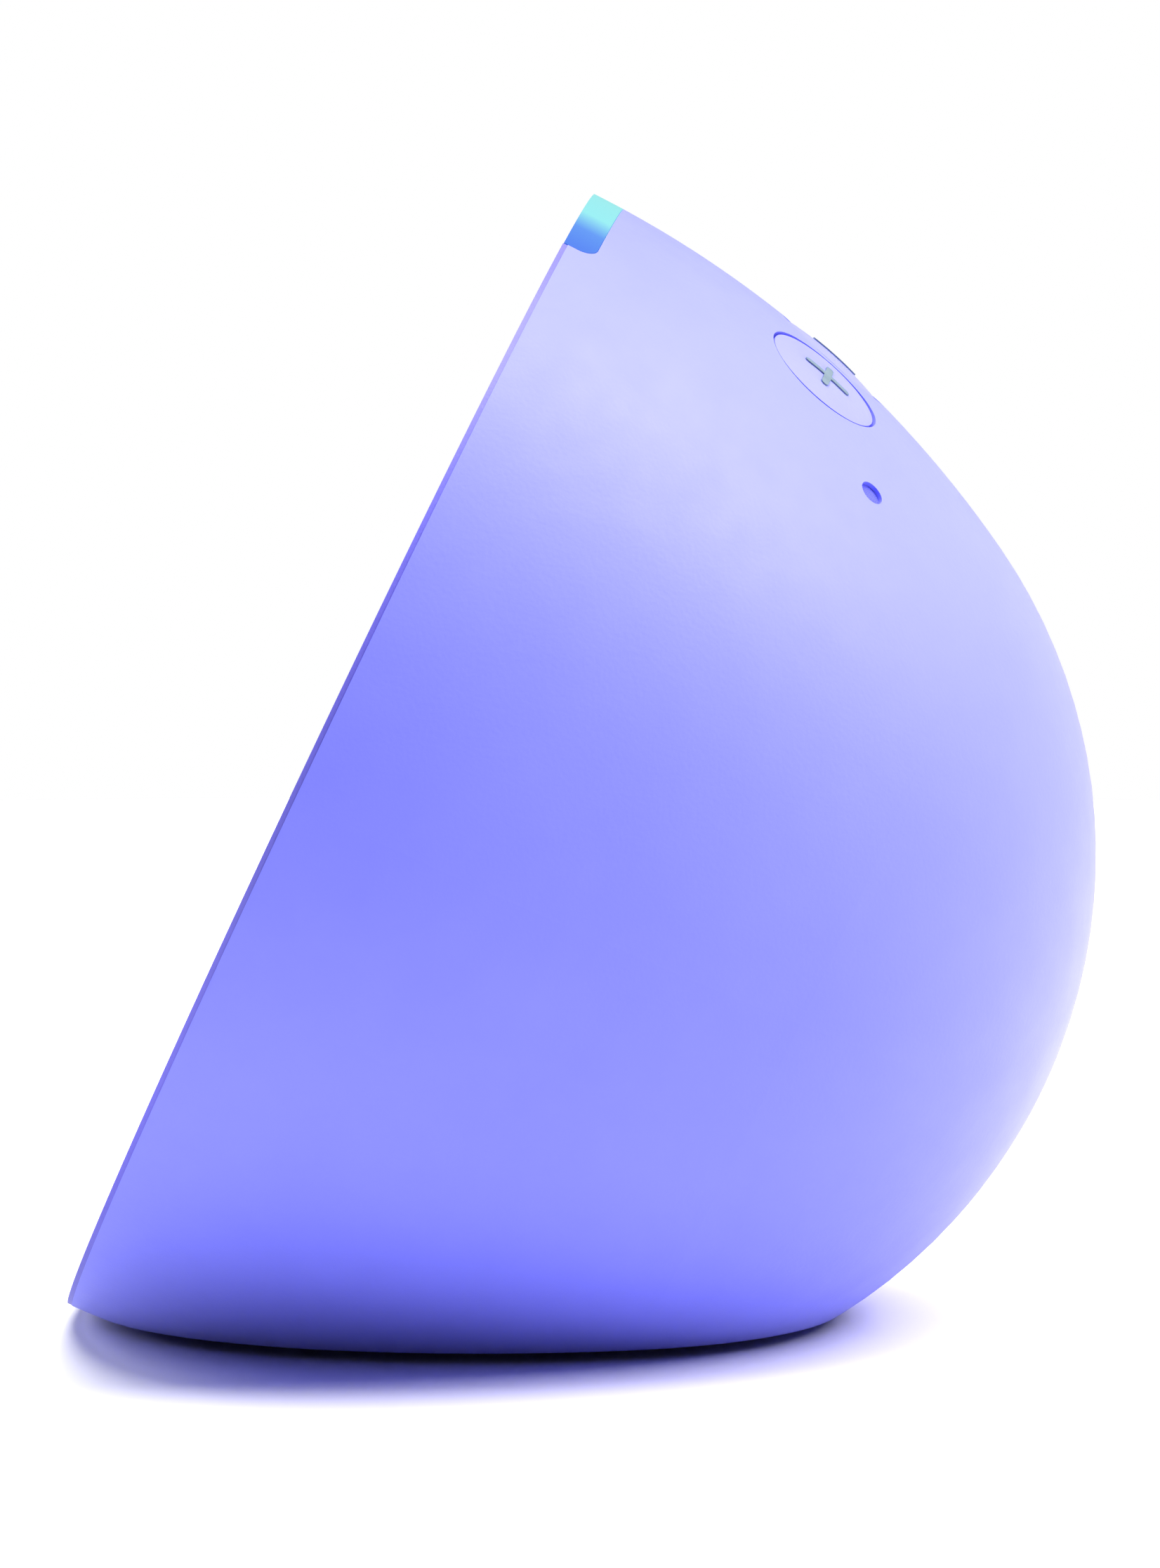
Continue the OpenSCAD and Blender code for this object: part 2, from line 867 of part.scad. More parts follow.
// Two leads from the driver through the chamber's wall.
module driver_leads() {
    color([0.8, 0.1, 0.1])
    on_face()
    for (side = [-1, 1])
        translate([lead_gap * side, lead_from, lead_s])
            rotate([-90, 0, 0]) cylinder(r = lead_r, h = lead_to - lead_from, $fn = 24);
}

// Two leads from the board to the power socket.
module jack_leads() {
    color([0.1, 0.1, 0.1])
    for (side = [-1, 1])
        translate([side * jack_lead_x, jack_lead_y, jack_lead_z])
            rotate([-90, 0, 0]) cylinder(r = lead_r, h = jack_back - jack_lead_y - gap, $fn = 24);
}

// Film antenna along the inside of the casing.
module wifi_antenna() {
    color([0.75, 0.5, 0.2])
    intersection() {
        difference() {
            form(antenna_in);
            form(antenna_in + antenna_t);
        }
        on_face()
            rotate([0, 0, -antenna_angle])
                translate([-antenna_len / 2, -big, antenna_s]) cube([antenna_len, big, antenna_w]);
    }
}

// ---------- keys ----------

module key_bracket() {
    color([0.2, 0.2, 0.22])
    on_face()
    union() {
        key_strip(key_board_n + key_board_t, bracket_t, mic_angle + bracket_past);
        for (side = [-1, 1])
            on_surface(side * strut_angle, strut_depth)
                translate([0, 0, -key_board_n - strut_root])
                    cylinder(r = strut_r, h = key_board_n + strut_root - strut_gap - wall, $fn = 32);
    }
}

// Flexible board under the keys.
module key_board() {
    color([0.05, 0.3, 0.15])
    on_face()
    difference() {
        key_strip(key_board_n, key_board_t, mic_angle + board_past);
        for (side = [-1, 1]) surface_hole(side * strut_angle, strut_depth, strut_r + 2 * gap, cut / 2);
    }
}

// Snap domes that the keys press.
module key_domes() {
    color([0.85, 0.82, 0.7])
    on_face()
    for (a = key_angles)
        on_surface(a, key_depth)
            translate([0, 0, -key_board_n + dome_gap])
                cylinder(r1 = dome_r1, r2 = dome_r2, h = dome_h - dome_gap, $fn = 48);
}

// Round key with a crowned top, ears that hold it in, and a post over its dome.
module key(angle) {
    on_face()
    on_surface(angle, key_depth) {
        intersection() {
            translate([0, 0, -key_skirt]) cylinder(d = key_d, h = key_skirt + 2);
            translate([0, 0, key_proud - key_crown_r]) sphere(r = key_crown_r, $fn = 180);
        }
        translate([-key_ear[0] / 2, -key_ear[1] / 2, -key_skirt - key_ear_t])
            cube([key_ear[0], key_ear[1], key_ear_t]);
        translate([0, 0, -key_skirt - key_ear_t - key_post_len])
            cylinder(r = key_post_r, h = key_post_len + eps, $fn = 48);
    }
}

// Plus key.
module volume_up_key() {
    color([0.68, 0.66, 1]) key(key_pitch);
}

// Minus key.
module volume_down_key() {
    color([0.68, 0.66, 1]) key(0);
}

// Microphone key.
module mic_mute_key() {
    color([0.68, 0.66, 1]) key(-key_pitch);
}

// Rubber boots between the microphones and their holes.
module mic_seals() {
    color([0.3, 0.3, 0.75])
    on_face()
    for (side = [-1, 1])
        on_surface(side * mic_angle, mic_depth)
            translate([0, 0, -wall - mic_seal_t - gap])
                difference() {
                    cylinder(r = mic_seal_r, h = mic_seal_t, $fn = 48);
                    translate([0, 0, -eps]) cylinder(r = mic_port_r, h = mic_seal_t + 1, $fn = 24);
                }
}

// Two microphones.
module mic_modules() {
    color([0.8, 0.8, 0.6])
    on_face()
    for (side = [-1, 1])
        on_surface(side * mic_angle, mic_depth)
            translate([-mic_w / 2, -mic_w / 2, -wall - mic_seal_t - mic_h - 2 * gap])
                cube([mic_w, mic_w, mic_h]);
}

// Flat cable from the key board, down the inside of the dome, to the main board.
module key_ribbon() {
    color([0.85, 0.75, 0.5]) {
        intersection() {
            difference() {
                form(ribbon_in);
                form(ribbon_in + ribbon_t);
            }
            translate([ribbon_x, -cut, ribbon_z]) cube([ribbon_w, big, big]);
            on_face() translate([-big / 2, -big / 2, ribbon_s]) cube(big);
        }
        intersection() {
            form(ribbon_in);
            translate([ribbon_x, ribbon_y, ribbon_z]) cube([ribbon_w, big, ribbon_t]);
        }
    }
}

// ---------- light ----------

module light_bar() {
    color([0.55, 0.85, 1])
    on_face() {
        intersection() {
            rotate_extrude($fn = 180)
                difference() {
                    half_section(0, gap);
                    half_section(wall, trim_t - 1);
                }
            light_prism(0);
        }
        intersection() {
            sector(light_lip_angle);
            union() {
                ring(light_lip_r, skirt_r + 1, light_lip_s, trim_t + light_w - gap);
                intersection() {
                    ring(light_lip_r, skirt_r + 1, light_lip_s, light_lip_back);
                    rotate_extrude($fn = 180) half_section(wall + gap, 0);
                }
            }
        }
    }
}

// Strip behind the light bar that carries its lamps.
module light_board() {
    color([0.9, 0.9, 0.9])
    on_face()
    intersection() {
        ring(light_board_q, light_board_q + light_board_t, light_board_s, light_board_s + light_board_w);
        sector(light_angle - 1);
    }
}

// Lamps behind the light bar.
module light_leds() {
    color([1, 1, 0.9])
    on_face()
    for (i = [-2.5:1:2.5])
        rotate([0, 0, i * led_pitch]) translate([-led[0] / 2, -led_q, led_s]) cube(led);
}

rear_shell();
front_trim();
grille_fabric();
grille_frame();
front_baffle();
baffle_screws();
driver_gasket();
driver_basket();
driver_top_plate();
driver_magnet();
driver_back_plate();
driver_surround();
driver_spider();
driver_screws();
driver_cone();
dust_cap();
voice_coil();
speaker_chamber();
chamber_seal();
chamber_screws();
base_plate();
foot_pad();
base_screws();
main_board();
board_chips();
shield_can();
thermal_pad();
heat_spreader();
board_connectors();
board_screws();
dc_jack();
jack_pin();
key_bracket();
key_board();
key_domes();
volume_up_key();
volume_down_key();
mic_mute_key();
mic_seals();
mic_modules();
light_bar();
light_board();
light_leds();
wifi_antenna();
driver_leads();
jack_leads();
key_ribbon();
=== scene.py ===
"""Looks of a half-dome smart speaker: materials, woven front cloth, microphone gauze, key marks,
light and camera."""
import bpy
import bmesh
import json
import math
from mathutils import Matrix, Vector


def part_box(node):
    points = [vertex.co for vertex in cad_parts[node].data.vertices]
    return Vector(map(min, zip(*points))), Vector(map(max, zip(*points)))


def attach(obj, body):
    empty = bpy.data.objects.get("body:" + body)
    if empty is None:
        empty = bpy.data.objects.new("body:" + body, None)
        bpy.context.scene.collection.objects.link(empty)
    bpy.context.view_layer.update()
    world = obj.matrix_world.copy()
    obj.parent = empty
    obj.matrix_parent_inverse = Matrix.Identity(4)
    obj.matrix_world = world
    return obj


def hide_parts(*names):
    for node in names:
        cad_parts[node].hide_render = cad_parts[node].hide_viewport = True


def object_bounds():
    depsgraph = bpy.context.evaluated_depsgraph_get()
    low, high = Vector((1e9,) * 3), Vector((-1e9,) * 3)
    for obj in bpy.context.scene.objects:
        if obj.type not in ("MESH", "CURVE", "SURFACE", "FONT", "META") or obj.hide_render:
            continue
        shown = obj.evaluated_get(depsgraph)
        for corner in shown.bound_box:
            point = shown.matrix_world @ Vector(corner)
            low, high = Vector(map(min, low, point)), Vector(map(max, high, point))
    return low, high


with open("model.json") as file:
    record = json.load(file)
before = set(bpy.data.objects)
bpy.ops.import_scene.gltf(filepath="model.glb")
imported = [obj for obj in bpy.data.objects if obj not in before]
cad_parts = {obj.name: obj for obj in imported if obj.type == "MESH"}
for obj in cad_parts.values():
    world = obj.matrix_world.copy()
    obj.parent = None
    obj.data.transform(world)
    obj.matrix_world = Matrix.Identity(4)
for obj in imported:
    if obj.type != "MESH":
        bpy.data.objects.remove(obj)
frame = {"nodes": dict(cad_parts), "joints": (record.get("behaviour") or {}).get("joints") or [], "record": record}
CAD_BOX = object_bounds()
NODES = frame["nodes"]
JOINTS = {joint["name"]: joint for joint in frame["joints"]}
MM = 0.001

# The front cloth: how far it stands before the CAD sheet's middle, its thread's pitch and height,
# its thickness, how far its edge dips, its clearance in the trim and the cells of its mesh
CLOTH_FORWARD = 0.22 * MM
CLOTH_PITCH = 1.05 * MM
CLOTH_RELIEF = 0.22 * MM
CLOTH_THICK = 0.55 * MM
CLOTH_TUCK = 0.12 * MM
CLOTH_CLEARANCE = 0.03 * MM
CLOTH_CELLS = 460

# How much a thread rises over the ones that it crosses, and how high it lies on average
THREAD_RISE = 0.34
THREAD_LEVEL = 1 - THREAD_RISE

# The microphones' gauze: its depth under the surface, and the surface's height over the seal
GAUZE_R = 1.04 * MM
GAUZE_SINK = 0.35 * MM
SEAL_TO_SURFACE = 2.25 * MM
GAUZE_PITCH = 0.2 * MM
GAUZE_RELIEF = 0.06 * MM
GAUZE_THICK = 0.16 * MM
GAUZE_TUCK = 0.02 * MM
GAUZE_CELLS = 48

# The keys' marks: stroke length and width, print above and below the key's surface, the mute ring
MARK_LENGTH = 4.5 * MM
MARK_WIDTH = 0.7 * MM
MARK_TOP = 0.13 * MM
MARK_FOOT = -0.05 * MM
MUTE_RING_R = 1.75 * MM
MUTE_WIDTH = 0.8 * MARK_WIDTH
MUTE_BAR_LENGTH = 1.15 * MARK_LENGTH

# The camera, and the middle of the speaker that the lamps point at
CAMERA_AZIMUTH = math.radians(91.7)
CAMERA_ELEVATION = math.radians(4.5)
CAMERA_DISTANCE = 0.5556
CAMERA_SHIFT = (-0.0019, -0.0167)
SENSOR_WIDTH = 36
SEEN_HEIGHT = 0.12673
LAMP_AIM = (0, 0, 0.045)

# Part of a noise's range over which colours and roughness spread
NOISE_LOW, NOISE_HIGH = 0.3, 0.7


# ---------- the casing's own directions, read from the frame ----------

def face_frame():
    """Centre of the round face, and its unit directions: across, up it, and into the casing."""
    into = Vector(JOINTS["cone_stroke"]["axis"]).normalized()
    across = Vector((1, 0, 0))
    up = across.cross(into).normalized()
    if up.z < 0:
        up = -up
    low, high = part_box("grille_fabric")
    return (low + high) / 2, across, up, into


FACE_CENTRE, ACROSS, UP_FACE, INTO = face_frame()


def face_matrix(depth):
    """Matrix whose x runs across, y up the face and z out of it, behind the cloth's middle."""
    out = Matrix((ACROSS, UP_FACE, -INTO)).transposed().to_4x4()
    out.translation = FACE_CENTRE + INTO * depth
    return out


# ---------- material nodes ----------

class Shader:
    """A new node material with one Principled shader and short calls for the nodes that feed it."""

    def __init__(self, name):
        self.material = bpy.data.materials.new(name)
        self.material.use_nodes = True
        self.nodes = self.material.node_tree.nodes
        self.links = self.material.node_tree.links
        self.nodes.clear()
        self.out = self.nodes.new("ShaderNodeOutputMaterial")
        self.main = self.nodes.new("ShaderNodeBsdfPrincipled")
        self.links.new(self.main.outputs[0], self.out.inputs[0])
        self.place = self.nodes.new("ShaderNodeTexCoord").outputs["Object"]

    def set(self, **values):
        """Values on the Principled shader's own sockets; an underscore stands for a space."""
        for name, value in values.items():
            self.main.inputs[name.replace("_", " ")].default_value = value
        return self

    def feed(self, name, output):
        """Links an output to the Principled shader."""
        self.links.new(output, self.main.inputs[name])

    def noise(self, scale, detail=4.0, rough=0.55, vector=None):
        """Fractal noise in the object's own space."""
        node = self.nodes.new("ShaderNodeTexNoise")
        node.inputs["Scale"].default_value = scale
        node.inputs["Detail"].default_value = detail
        node.inputs["Roughness"].default_value = rough
        self.links.new(vector or self.place, node.inputs["Vector"])
        return node.outputs["Fac"]

    def specks(self, scale):
        """Distance to the nearest of many scattered points."""
        node = self.nodes.new("ShaderNodeTexVoronoi")
        node.inputs["Scale"].default_value = scale
        self.links.new(self.place, node.inputs["Vector"])
        return node.outputs["Distance"]

    def stretched(self, x, y, z):
        """The object's own space, scaled along each axis."""
        node = self.nodes.new("ShaderNodeMapping")
        node.inputs["Scale"].default_value = (x, y, z)
        self.links.new(self.place, node.inputs["Vector"])
        return node.outputs[0]

    def ramp(self, value, stops):
        """Colour ramp over (position, colour) stops."""
        node = self.nodes.new("ShaderNodeValToRGB")
        elements = node.color_ramp.elements
        while len(elements) < len(stops):
            elements.new(0.5)
        for element, (position, color) in zip(elements, stops):
            element.position = position
            element.color = (*color, 1)
        self.links.new(value, node.inputs[0])
        return node.outputs[0]

    def span(self, value, low, high, to_low, to_high):
        """Value from one range mapped to another."""
        node = self.nodes.new("ShaderNodeMapRange")
        for i, number in enumerate((low, high, to_low, to_high), start=1):
            node.inputs[i].default_value = number
        self.links.new(value, node.inputs[0])
        return node.outputs[0]

    def math(self, operation, first, second=None):
        """Math node on outputs or numbers."""
        node = self.nodes.new("ShaderNodeMath")
        node.operation = operation
        for i, value in enumerate((first, second)):
            if isinstance(value, (int, float)):
                node.inputs[i].default_value = value
            elif value is not None:
                self.links.new(value, node.inputs[i])
        return node.outputs[0]

    def axis(self, direction, origin):
        """Distance along a direction from a point, in metres."""
        shift = self.nodes.new("ShaderNodeVectorMath")
        shift.operation = "SUBTRACT"
        shift.inputs[1].default_value = origin
        self.links.new(self.place, shift.inputs[0])
        dot = self.nodes.new("ShaderNodeVectorMath")
        dot.operation = "DOT_PRODUCT"
        dot.inputs[1].default_value = direction
        self.links.new(shift.outputs[0], dot.inputs[0])
        return dot.outputs["Value"]

    def waves(self, direction, origin, pitch):
        """Sine waves, -1 to 1, along a direction."""
        turn = self.math("MULTIPLY", self.axis(direction, origin), math.tau / pitch)
        return self.math("SINE", turn)

    def mottle(self, scale, dark, light, detail=4.0):
        """Base colour that wanders between two tones."""
        tones = [(NOISE_LOW, dark), (NOISE_HIGH, light)]
        self.feed("Base Color", self.ramp(self.noise(scale, detail), tones))

    def polish(self, scale, low, high):
        """Roughness that wanders between two values."""
        self.feed("Roughness", self.span(self.noise(scale), NOISE_LOW, NOISE_HIGH, low, high))

    def bump(self, height, distance):
        """Relief of the given height, in metres."""
        node = self.nodes.new("ShaderNodeBump")
        node.inputs["Distance"].default_value = distance
        node.inputs["Strength"].default_value = 1.0
        self.links.new(height, node.inputs["Height"])
        self.feed("Normal", node.outputs[0])


def tinted(color, factor):
    """Colour made darker or lighter by a factor."""
    return tuple(min(1.0, c * factor) for c in color)


def moulded(name, color, rough=0.5, grain=2600, depth=0.02, mottle=0.04):
    """Moulded plastic: fine spark-eroded grain, a faint mottle in colour and in roughness."""
    s = Shader(name).set(Specular_IOR_Level=0.4)
    s.mottle(90, tinted(color, 1 - mottle), tinted(color, 1 + mottle))
    s.polish(260, rough - 0.04, rough + 0.05)
    s.bump(s.noise(grain, detail=2), depth * MM)
    return s.material


def rubbery(name, color, rough=0.75):
    """Moulded rubber: matt, with a dust-fine mottle."""
    s = Shader(name).set(Specular_IOR_Level=0.3)
    s.mottle(300, tinted(color, 0.8), tinted(color, 1.25), detail=6)
    s.polish(700, rough - 0.06, rough + 0.08)
    s.bump(s.noise(4200, detail=2), 0.015 * MM)
    return s.material


def metal(name, color, rough=0.3, streaks=(60, 900, 900)):
    """Bare or plated metal with rolled streaks, longest along the axis of the smallest number."""
    s = Shader(name).set(Metallic=1.0)
    streak = s.noise(1.0, detail=5, vector=s.stretched(*streaks))
    s.feed("Base Color", s.ramp(streak, [(0.2, tinted(color, 0.86)), (0.8, tinted(color, 1.06))]))
    s.feed("Roughness", s.span(streak, 0.2, 0.8, rough - 0.08, rough + 0.1))
    s.bump(streak, 0.006 * MM)
    return s.material


def casing_material(name, color):
    """Soft-touch casing with a very fine, even grain and a satin bloom at grazing angles."""
    s = Shader(name).set(Specular_IOR_Level=0.35, Sheen_Weight=0.25, Sheen_Roughness=0.5)
    s.set(Sheen_Tint=(0.9, 0.9, 1.0, 1.0))
    s.mottle(60, tinted(color, 0.97), tinted(color, 1.03))
    s.polish(300, 0.5, 0.58)
    s.bump(s.noise(2400, detail=2), 0.012 * MM)
    return s.material


def light_material():
    """Lit light guide: pale cyan in the middle, blue towards its ends, over a dark body colour."""
    low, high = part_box("light_bar")
    half = (high.x - low.x) / 2
    s = Shader("light_guide").set(Roughness=0.35, Specular_IOR_Level=0.3, Emission_Strength=0.75)
    along = s.span(s.math("ABSOLUTE", s.axis((1, 0, 0), (0, 0, 0))), 0, half, 0, 1)
    glow = [
        (0.0, (0.25, 0.62, 0.62)), (0.6, (0.22, 0.6, 0.62)),
        (0.8, (0.08, 0.22, 0.62)), (1.0, (0.05, 0.15, 0.6)),
    ]
    s.feed("Emission Color", s.ramp(along, glow))
    s.feed("Base Color", s.ramp(along, [(place, tinted(color, 0.3)) for place, color in glow]))
    s.bump(s.noise(1800, detail=2), 0.01 * MM)
    return s.material


def cloth_material(name, crown, shaded_flank, shaded_gap):
    """Woven polyester with a soft sheen: painted highlight on the threads' crowns, painted shade between them."""
    s = Shader(name).set(Roughness=0.85, Specular_IOR_Level=0.2)
    s.set(Sheen_Weight=0.5, Sheen_Roughness=0.4)
    level = s.nodes.new("ShaderNodeAttribute")
    level.attribute_name = "relief"
    # The thread height picks the colour: the crown colour is painted highlight, the flank and gap colours are
    # painted shade
    s.feed("Base Color", s.ramp(level.outputs["Fac"], [(0.2, shaded_gap), (0.55, shaded_flank), (0.95, crown)]))
    s.bump(s.noise(5200, detail=3), 0.02 * MM)
    return s.material


def mark_material():
    """Blue-grey print on the keys."""
    s = Shader("mark_ink").set(Specular_IOR_Level=0.3)
    s.mottle(900, (0.13, 0.18, 0.22), (0.17, 0.23, 0.27))
    s.polish(1500, 0.4, 0.55)
    return s.material


def painted_steel():
    """Pressed steel under black powder coat, with its orange-peel skin."""
    s = Shader("powder_coat").set(Specular_IOR_Level=0.5)
    tones = [(0.35, (0.028, 0.028, 0.03)), (0.7, (0.05, 0.05, 0.054))]
    s.feed("Base Color", s.ramp(s.noise(700), tones))
    s.polish(1200, 0.38, 0.55)
    s.bump(s.noise(1300, detail=1), 0.04 * MM)
    return s.material


def ferrite_material():
    """Sintered ferrite: charcoal grey, ground, with fine bright specks."""
    s = Shader("ferrite").set(Metallic=0.4)
    tones = [(0.02, (0.2, 0.2, 0.21)), (0.2, (0.055, 0.055, 0.06))]
    s.feed("Base Color", s.ramp(s.specks(2600), tones))
    s.polish(500, 0.5, 0.7)
    s.bump(s.noise(900, detail=6), 0.03 * MM)
    return s.material


def paper_material():
    """Pressed paper pulp, black, with loose fibres."""
    s = Shader("cone_pulp").set(Roughness=0.9, Specular_IOR_Level=0.2)
    fibre = s.noise(1.0, detail=8, rough=0.75, vector=s.stretched(1600, 260, 700))
    s.feed("Base Color", s.ramp(fibre, [(0.35, (0.03, 0.03, 0.033)), (0.62, (0.075, 0.075, 0.08))]))
    s.bump(fibre, 0.05 * MM)
    return s.material


def spider_material():
    """Amber cloth stiffened with resin, its weave still showing, with painted shade in the weave's dips and
    painted highlight on its bumps.
    """
    s = Shader("spider_cloth").set(Roughness=0.6, Specular_IOR_Level=0.4)
    origin, pitch = (0, 0, 0), 0.8 * MM
    weave = s.math("MULTIPLY", s.waves(ACROSS, origin, pitch), s.waves(UP_FACE, origin, pitch))
    # Painted shade in the weave's dips and painted highlight on its bumps, on the bump's own waves
    tones = [(0.2, (0.22, 0.13, 0.03)), (0.8, (0.5, 0.33, 0.1))]
    s.feed("Base Color", s.ramp(s.span(weave, -1, 1, 0, 1), tones))
    s.bump(weave, 0.08 * MM)
    return s.material


def winding_material():
    """Enamelled copper wire, wound turn beside turn along the coil's axis, with painted highlight along each turn
    and painted shade between turns.
    """
    s = Shader("copper_winding").set(Metallic=1.0, Roughness=0.3)
    turns = s.waves(INTO, FACE_CENTRE, 0.25 * MM)
    # Painted highlight on each turn's middle and painted shade in the grooves between turns, on the bump's own
    # waves
    tones = [(0.1, (0.2, 0.07, 0.02)), (0.6, (0.8, 0.36, 0.15))]
    s.feed("Base Color", s.ramp(s.span(turns, -1, 1, 0, 1), tones))
    s.bump(turns, 0.05 * MM)
    return s.material


def board_material(name, mask, trace):
    """Printed board: solder mask over copper tracks that run in both directions."""
    s = Shader(name).set(Specular_IOR_Level=0.5)
    across = s.noise(1.0, detail=0, vector=s.stretched(90, 1400, 1400))
    along = s.noise(1.0, detail=0, vector=s.stretched(1400, 90, 90))
    tracks = s.math("MAXIMUM", across, along)
    s.feed("Base Color", s.ramp(tracks, [(0.58, mask), (0.6, trace), (0.68, trace), (0.7, mask)]))
    s.polish(400, 0.26, 0.38)
    s.bump(s.span(tracks, 0.58, 0.6, 0, 1), 0.02 * MM)
    return s.material


def film_material():
    """Amber polyimide film over copper tracks."""
    s = Shader("flex_film").set(Roughness=0.3, Specular_IOR_Level=0.5)
    tracks = s.waves(ACROSS, (0, 0, 0), 0.9 * MM)
    tones = [(0.45, (0.5, 0.24, 0.05)), (0.6, (0.72, 0.42, 0.12))]
    s.feed("Base Color", s.ramp(s.span(tracks, -1, 1, 0, 1), tones))
    s.bump(tracks, 0.02 * MM)
    return s.material


def lens_material():
    """Clear lens of a small lamp over its yellow phosphor."""
    s = Shader("led_lens").set(Roughness=0.2, Specular_IOR_Level=0.5, Emission_Strength=0.6)
    s.mottle(1500, (0.8, 0.78, 0.5), (0.95, 0.93, 0.7))
    s.set(Emission_Color=(0.2, 0.6, 1.0, 1.0))
    return s.material


def finishes():
    """One material for each of the record's material slots, and one for the microphones' gauze."""
    return {
        "casing": casing_material("casing_plastic", (0.19, 0.205, 0.93)),
        "key": casing_material("key_plastic", (0.215, 0.225, 0.95)),
        "trim": moulded("trim_plastic", (0.13, 0.12, 0.62)),
        # For the cloth and the gauze, the crown colour is painted highlight and the flank and gap colours are
        # painted shade
        "cloth": cloth_material(
            "grille_weave",
            crown=(0.24, 0.255, 0.95), shaded_flank=(0.15, 0.16, 0.74), shaded_gap=(0.03, 0.03, 0.2)),
        "gauze": cloth_material(
            "mic_gauze",
            crown=(0.1, 0.11, 0.8), shaded_flank=(0.07, 0.08, 0.7), shaded_gap=(0.03, 0.03, 0.35)),
        "light": light_material(),
        "base": moulded("base_plastic", (0.1, 0.105, 0.42), rough=0.55, grain=1500, depth=0.05),
        "dark_plastic": moulded("inner_plastic", (0.04, 0.04, 0.045), rough=0.5),
        "nylon": moulded("connector_nylon", (0.78, 0.75, 0.63), rough=0.42, mottle=0.03),
        "contact": metal("nickel_plate", (0.8, 0.74, 0.6), rough=0.22, streaks=(900, 60, 900)),
        "jack": moulded("jack_plastic", (0.025, 0.025, 0.027), rough=0.35),
        "chip": moulded("chip_epoxy", (0.025, 0.025, 0.03), rough=0.6, grain=5000, mottle=0.12),
        "rubber": rubbery("foot_rubber", (0.045, 0.045, 0.05)),
        "mic_rubber": rubbery("mic_rubber", (0.16, 0.175, 0.8)),
        "thermal": rubbery("thermal_pad", (0.25, 0.36, 0.55), rough=0.85),
        "lead": rubbery("lead_sleeve", (0.5, 0.035, 0.03), rough=0.45),
        "black_steel": painted_steel(),
        "steel": metal("zinc_plate", (0.66, 0.66, 0.67), rough=0.32),
        "aluminium": metal(
            "brushed_aluminium", (0.78, 0.78, 0.8), rough=0.36, streaks=(40, 2200, 40)),
        "ferrite": ferrite_material(),
        "spider_cloth": spider_material(),
        "cone_paper": paper_material(),
        "copper": winding_material(),
        "board": board_material("solder_mask", (0.01, 0.11, 0.045), (0.03, 0.24, 0.09)),
        "white_board": board_material("white_mask", (0.78, 0.78, 0.77), (0.66, 0.66, 0.65)),
        "led": lens_material(),
        "flex": film_material(),
    }


# ---------- pieces ----------

def new_piece(name, mesh, body, material):
    """Mesh as a piece that rides a body and fills a slot."""
    piece = bpy.data.objects.new(name, mesh)
    bpy.context.scene.collection.objects.link(piece)
    mesh.materials.append(material)
    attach(piece, body)
    return piece


def paint(node, material):
    """Gives a CAD node one material."""
    mesh = NODES[node].data
    mesh.materials.clear()
    mesh.materials.append(material)


def mesh_from(name, points, faces):
    """Closed mesh of the points and faces, its faces turned outwards."""
    mesh = bpy.data.meshes.new(name)
    mesh.from_pydata([tuple(p) for p in points], [], faces)
    mesh.validate()
    turned = bmesh.new()
    turned.from_mesh(mesh)
    bmesh.ops.recalc_face_normals(turned, faces=turned.faces)
    turned.to_mesh(mesh)
    turned.free()
    return mesh


def disc_point(a, b):
    """Point of a unit disc for a point of the square -1..1, spreading the square's grid evenly."""
    if a == 0 and b == 0:
        return 0.0, 0.0
    if abs(a) > abs(b):
        radius, turn = a, math.pi / 4 * b / a
    else:
        radius, turn = b, math.pi / 2 - math.pi / 4 * a / b
    return radius * math.cos(turn), radius * math.sin(turn)


def weave_height(x, y, pitch):
    """Height, 0 to 1, of a plain weave on the slant.

    Each thread rises over every second one that it crosses.
    """
    u, v = (x + y) * math.sqrt(0.5) / pitch, (x - y) * math.sqrt(0.5) / pitch
    column, row = math.floor(u), math.floor(v)
    warp = math.sqrt(max(0.0, 1 - (2 * (u - column) - 1) ** 2))
    weft = math.sqrt(max(0.0, 1 - (2 * (v - row) - 1) ** 2))
    warp_rise = math.sin(math.pi * v) * (-1) ** column
    weft_rise = -math.sin(math.pi * u) * (-1) ** row
    warp *= THREAD_LEVEL + THREAD_RISE * warp_rise
    weft *= THREAD_LEVEL + THREAD_RISE * weft_rise
    return max(warp, weft)


